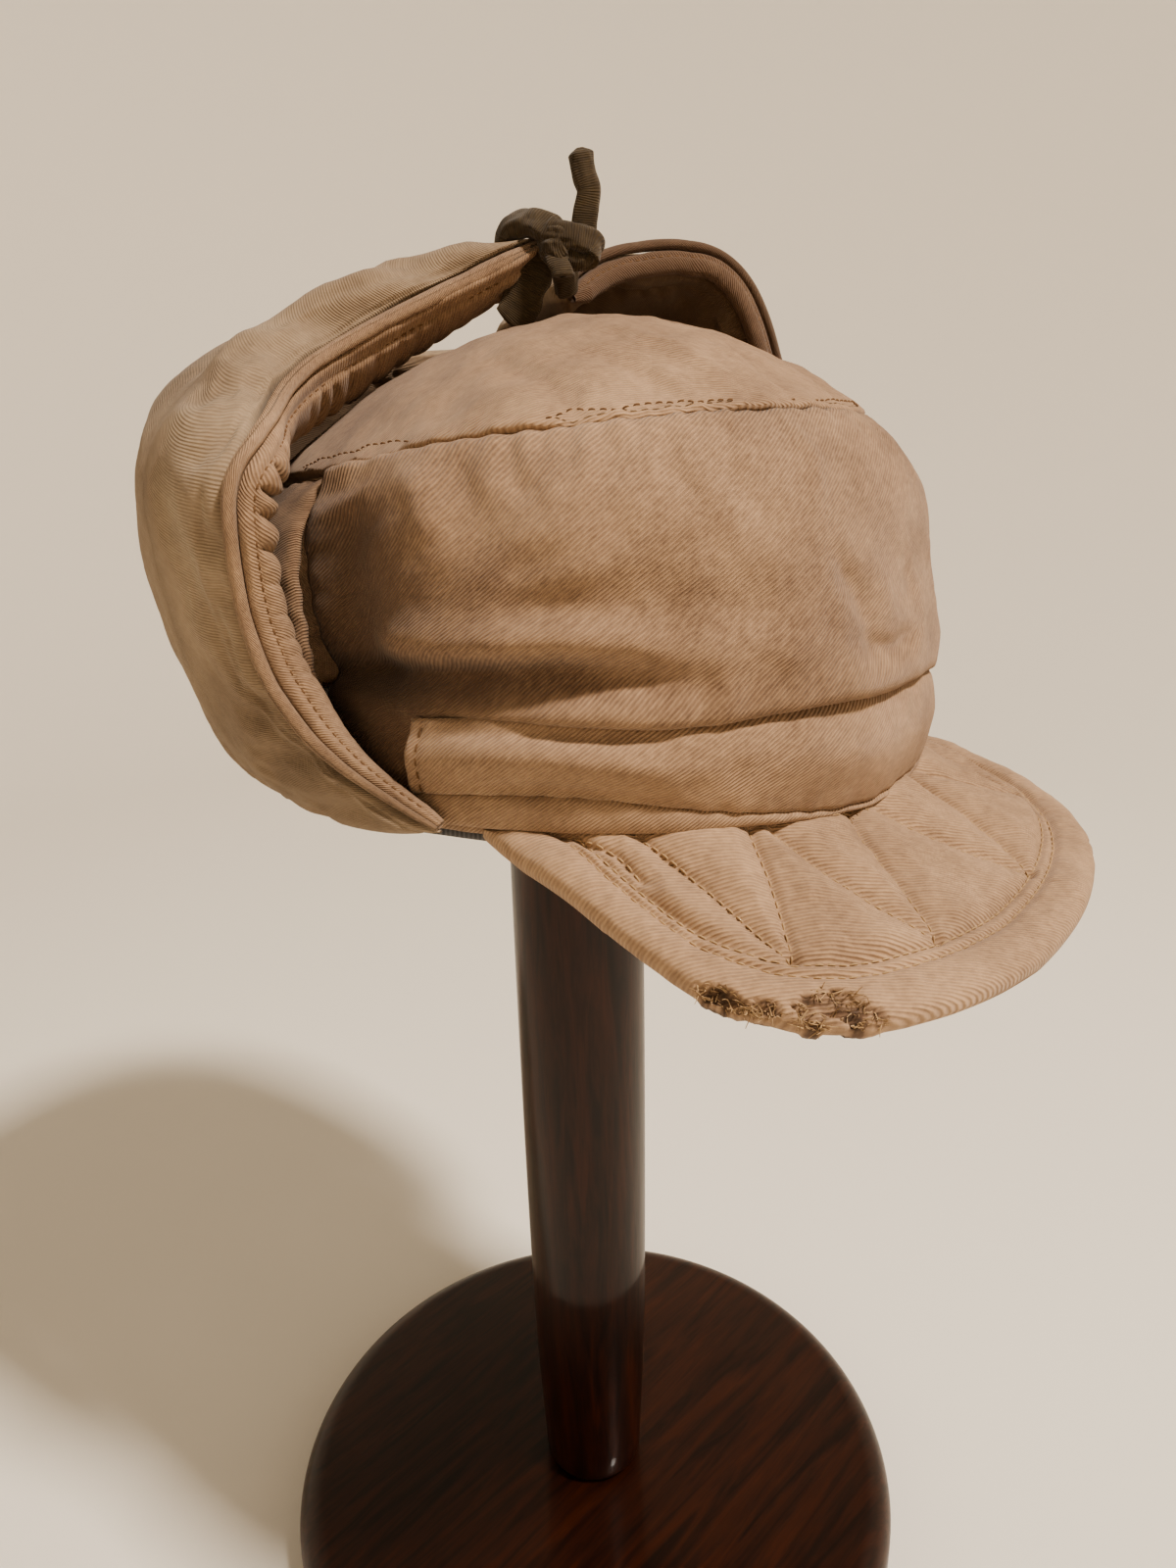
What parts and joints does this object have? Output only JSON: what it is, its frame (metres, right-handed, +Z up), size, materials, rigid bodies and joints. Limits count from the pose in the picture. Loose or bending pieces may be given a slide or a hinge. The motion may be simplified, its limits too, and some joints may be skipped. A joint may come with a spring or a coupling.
{
  "type": "winter field cap on a wooden hat stand",
  "caption": "Padded cloth winter cap with a quilted peak and ear flaps tied up over the crown, resting on a plain turned wooden hat stand.",
  "frame": {"origin": "centre of the underside of the stand's round base", "axes": "+Z up along the stand's post, the cap's peak towards -Y, the wearer's right towards -X"},
  "size_m": [0.216, 0.2666, 0.4516],
  "materials": {
    "stand_wood": "dark stained hardwood under satin lacquer, worn on the edges",
    "cap_twill": "faded khaki cotton twill, soft and creased, with a fine diagonal rib",
    "flap_poplin": "faded khaki close plain-woven cotton, padded, rolled and gathered at its edge",
    "dark_lining": "dark brushed cotton sweatband",
    "tie_tape": "dark brown cotton tape, soft and frayed"
  },
  "bodies": {
    "root": {"stand_base": "stand_wood", "stand_post": "stand_wood", "stand_head": "stand_wood", "crown_front": "cap_twill", "crown_back": "cap_twill", "crown_top": "cap_twill", "front_band": "cap_twill", "hem_strip": "cap_twill", "sweatband": "dark_lining", "peak": "cap_twill", "flap": "flap_poplin", "flap_roll_right": "flap_poplin", "flap_hem_right": "flap_poplin", "flap_roll_left": "flap_poplin", "flap_hem_left": "flap_poplin", "tie_knot": "tie_tape", "tie_loop_right": "tie_tape", "tie_loop_left": "tie_tape", "tie_end_up": "tie_tape", "tie_end_down": "tie_tape"}
  },
  "joints": []
}
